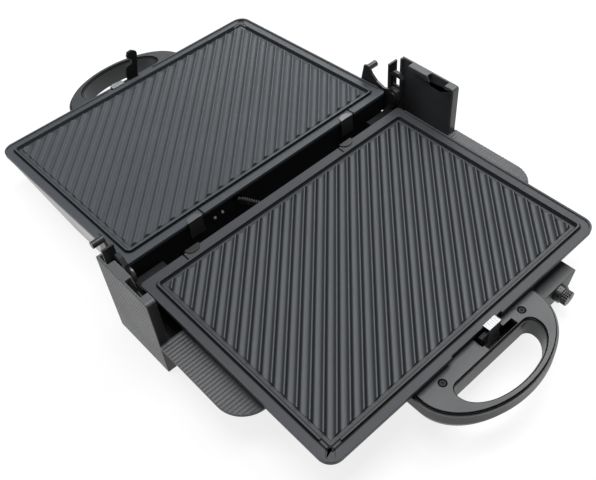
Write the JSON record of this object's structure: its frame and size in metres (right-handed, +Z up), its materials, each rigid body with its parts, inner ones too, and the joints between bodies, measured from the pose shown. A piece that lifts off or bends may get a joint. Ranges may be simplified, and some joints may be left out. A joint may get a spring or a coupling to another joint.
{
  "type": "electric_contact_grill",
  "caption": "Electric contact grill opened flat: two ribbed non-stick plates, loop handles, hinge towers in which the lid floats and a steel lid cover.",
  "frame": {"origin": "on the table, below the middle of the open grill", "axes": "+X to the right along the hinge, +Y to the opened lid, +Z up"},
  "size_m": [0.364, 0.5894, 0.094],
  "materials": {
    "black_plastic": "satin",
    "tower_plastic": "satin",
    "handle_plastic": "satin",
    "knob_plastic": "gloss",
    "slider_plastic": "matte",
    "nonstick": "satin",
    "clip_steel": "satin",
    "zinc_steel": "satin",
    "dark_screw": "satin",
    "rivet_steel": "polished",
    "dark_steel": "satin",
    "lid_steel": "brushed",
    "spring_steel": "satin",
    "heater_sheath": "matte",
    "tray_aluminium": "satin",
    "rubber": "matte",
    "wire_cover": "matte"
  },
  "bodies": {
    "base": {"base_housing": "black_plastic", "base_bottom_cover": "black_plastic", "base_cover_screws": "zinc_steel", "rubber_feet": "rubber", "cord_inlet": "rubber", "control_box": "black_plastic", "thermostat": "zinc_steel", "base_plate": "nonstick", "base_plate_rear_clips": "clip_steel", "base_heating_element": "heater_sheath", "base_heat_reflector": "tray_aluminium", "base_handle_shell": "handle_plastic", "base_handle_cover": "handle_plastic", "base_handle_screws": "dark_screw", "base_release_spring": "spring_steel", "wire_conduit": "spring_steel", "conduit_wires": "wire_cover", "left_tower_cover": "tower_plastic", "left_tower_bracket": "dark_steel", "left_tower_rear_plate": "dark_steel", "left_hinge_block": "black_plastic", "left_side_wing": "black_plastic", "right_tower_cover": "tower_plastic", "right_tower_bracket": "dark_steel", "right_tower_rear_plate": "dark_steel", "right_hinge_block": "black_plastic", "right_side_wing": "black_plastic"},
    "carriage": {"hinge_pins": "zinc_steel", "left_float_slider": "slider_plastic", "right_float_slider": "slider_plastic"},
    "lid": {"lid_plate": "nonstick", "lid_plate_rear_clips": "clip_steel", "lid_heating_element": "heater_sheath", "lid_heat_reflector": "tray_aluminium", "lid_handle_shell": "handle_plastic", "lid_handle_cover": "handle_plastic", "lid_handle_screws": "dark_screw", "lid_release_spring": "spring_steel", "lid_cover": "lid_steel", "lid_frame": "black_plastic", "lid_frame_rivets": "rivet_steel", "left_hinge_arm": "dark_steel", "right_hinge_arm": "dark_steel"},
    "control": {"control_knob": "knob_plastic"},
    "base_release": {"base_release_clip": "clip_steel", "base_release_lever": "black_plastic"},
    "lid_release": {"lid_release_clip": "clip_steel", "lid_release_lever": "black_plastic"},
    "lock": {"lid_lock": "black_plastic", "lid_lock_button": "black_plastic"}
  },
  "joints": [
    {"name": "float_rise", "type": "slide", "parent": "base", "child": "carriage", "axis": [0, 0, 1], "range_m": [0, 0.016], "deforming": ["wire_conduit", "conduit_wires"]},
    {"name": "lid_hinge", "type": "hinge", "parent": "carriage", "child": "lid", "pos_m": [0, 0.00055, 0.0586], "axis": [1, 0, 0], "range_deg": [0, 183.69]},
    {"name": "control_turn", "type": "hinge", "parent": "base", "child": "control", "pos_m": [0.097, -0.24945, 0.025], "axis": [0, -1, 0], "range_deg": [0, 270]},
    {"name": "base_release_push", "type": "slide", "parent": "base", "child": "base_release", "axis": [0, -1, 0], "range_m": [0, 0.0016], "stiffness_N_per_m": 900, "springref_m": -0.001, "deforming": ["base_release_spring"]},
    {"name": "lid_release_push", "type": "slide", "parent": "lid", "child": "lid_release", "axis": [0, 0.9979, -0.0644], "range_m": [0, 0.0016], "stiffness_N_per_m": 900, "springref_m": -0.001, "deforming": ["lid_release_spring"]},
    {"name": "lid_lock_slide", "type": "slide", "parent": "lid", "child": "lock", "axis": [1, 0, 0], "range_m": [-0.0075, 0]}
  ]
}
